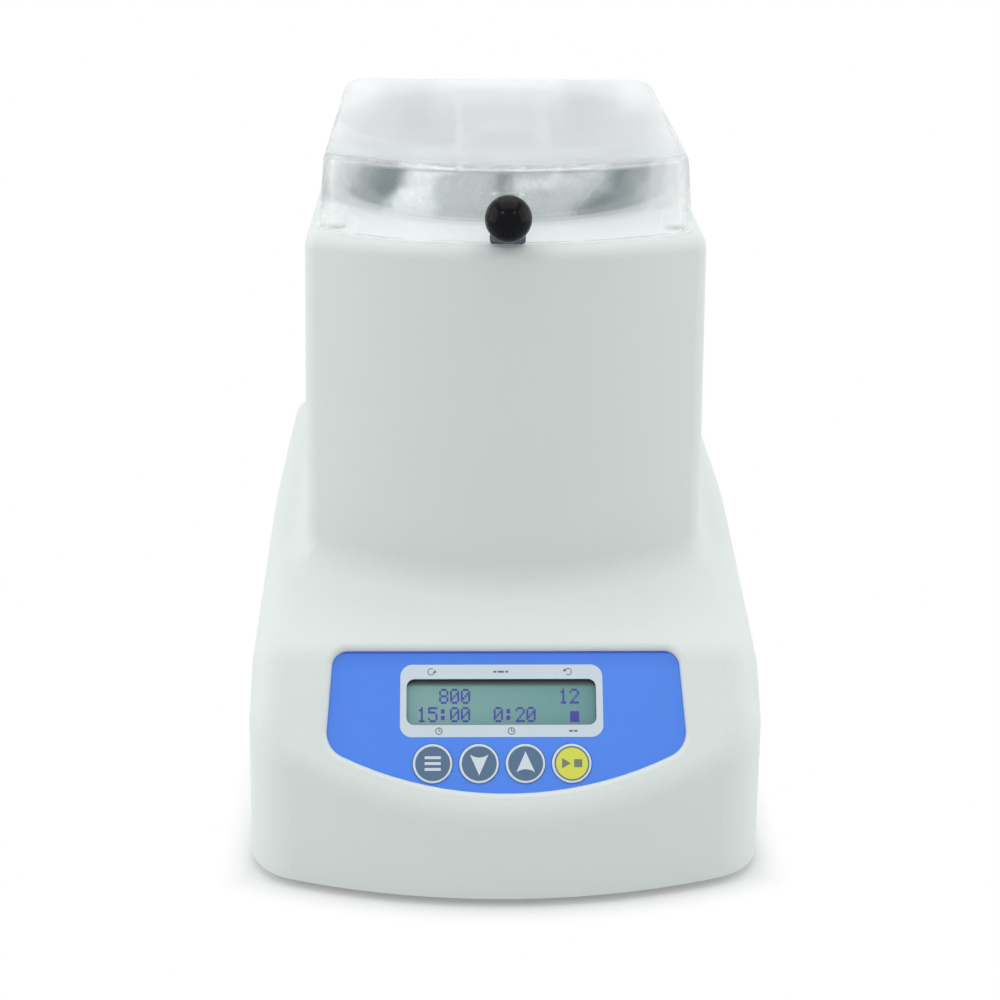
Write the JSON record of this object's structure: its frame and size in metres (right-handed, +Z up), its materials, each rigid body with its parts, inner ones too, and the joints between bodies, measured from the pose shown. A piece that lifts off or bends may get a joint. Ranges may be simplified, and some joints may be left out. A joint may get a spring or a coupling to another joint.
{
  "type": "microplate centrifuge",
  "caption": "Bench-top plate centrifuge: white housing with a sloping control panel, a steel bowl with a rotor that holds PCR plates upright, and a hinged frosted lid.",
  "frame": {"origin": "middle of the footprint, on the bench under the feet", "axes": "+Z up; -Y is the front with the control panel; +X is the user's right"},
  "size_m": [0.1712, 0.2402, 0.2275],
  "materials": {
    "housing_white": "fine moulded texture",
    "plate_grey": "powder coat",
    "black_rubber": "matt",
    "screw_steel": "plain",
    "bowl_steel": "polished, slightly grained",
    "carrier_aluminium": "milled",
    "motor_steel": "satin",
    "armature_iron": "laminated",
    "rotor_metal": "dark anodised",
    "overlay_blue": "printed foil",
    "window_white": "printed foil",
    "display_glass": "liquid crystal, back-lit",
    "key_grey": "satin",
    "key_yellow": "satin",
    "board_green": "solder mask",
    "dark_plastic": "satin",
    "lid_frosted": "frosted clear plastic",
    "knob_black": "polished",
    "hinge_steel": "nickel plated"
  },
  "bodies": {
    "base": {"housing": "housing_white", "bottom_plate": "plate_grey", "rubber_feet": "black_rubber", "case_screws": "screw_steel", "lid_buffers": "black_rubber", "chamber_bowl": "bowl_steel", "bowl_collar": "black_rubber", "bowl_screws": "screw_steel", "shaft_seal": "black_rubber", "motor_plate": "carrier_aluminium", "motor_pillars": "carrier_aluminium", "vibration_dampers": "black_rubber", "plate_bolts": "screw_steel", "pillar_screws": "screw_steel", "motor_body": "motor_steel", "motor_cap": "carrier_aluminium", "motor_bearings": "screw_steel", "motor_screws": "screw_steel", "control_overlay": "overlay_blue", "display_window": "window_white", "display_glass": "display_glass", "display_board": "board_green", "key_switches": "dark_plastic", "key_board": "board_green", "key_pillars": "dark_plastic", "main_board": "board_green", "board_pillars": "dark_plastic", "board_parts": "dark_plastic", "dc_inlet": "dark_plastic", "inlet_nut": "screw_steel", "switch_frame": "dark_plastic", "lid_sensor": "dark_plastic", "hinge_brackets": "hinge_steel", "bracket_screws": "screw_steel"},
    "rotor": {"rotor_hub": "rotor_metal", "left_plate_holder": "rotor_metal", "right_plate_holder": "rotor_metal", "holder_screws": "screw_steel", "rotor_nut": "rotor_metal", "motor_shaft": "screw_steel", "motor_armature": "armature_iron"},
    "lid": {"lid": "lid_frosted", "hinge_leaves": "hinge_steel", "hinge_pins": "hinge_steel", "leaf_screws": "screw_steel", "knob_pad": "lid_frosted", "ball_knob": "knob_black", "knob_stud": "screw_steel", "lid_magnet": "screw_steel"},
    "key_mode": {"key_mode": "key_grey"},
    "key_down": {"key_down": "key_grey"},
    "key_up": {"key_up": "key_grey"},
    "key_run": {"key_run": "key_yellow"},
    "power_rocker": {"power_rocker": "dark_plastic"}
  },
  "joints": [
    {"name": "lid_hinge", "type": "hinge", "parent": "base", "child": "lid", "pos_m": [0, 0.11715, 0.207], "axis": [-1, 0, 0], "range_deg": [0, 100]},
    {"name": "rotor_spin", "type": "hinge", "parent": "base", "child": "rotor", "pos_m": [0, 0.03995, 0.1], "axis": [0, 0, 1], "continuous": true},
    {"name": "key_mode_press", "type": "slide", "parent": "base", "child": "key_mode", "axis": [0, 0.7547, -0.6561], "range_m": [0, 0.0005], "stiffness_N_per_m": 1500},
    {"name": "key_down_press", "type": "slide", "parent": "base", "child": "key_down", "axis": [0, 0.7547, -0.6561], "range_m": [0, 0.0005], "stiffness_N_per_m": 1500},
    {"name": "key_up_press", "type": "slide", "parent": "base", "child": "key_up", "axis": [0, 0.7547, -0.6561], "range_m": [0, 0.0005], "stiffness_N_per_m": 1500},
    {"name": "key_run_press", "type": "slide", "parent": "base", "child": "key_run", "axis": [0, 0.7547, -0.6561], "range_m": [0, 0.0005], "stiffness_N_per_m": 1500},
    {"name": "rocker_tip", "type": "hinge", "parent": "base", "child": "power_rocker", "pos_m": [0.046, 0.10815, 0.026], "axis": [1, 0, 0], "range_deg": [0, 14]}
  ]
}
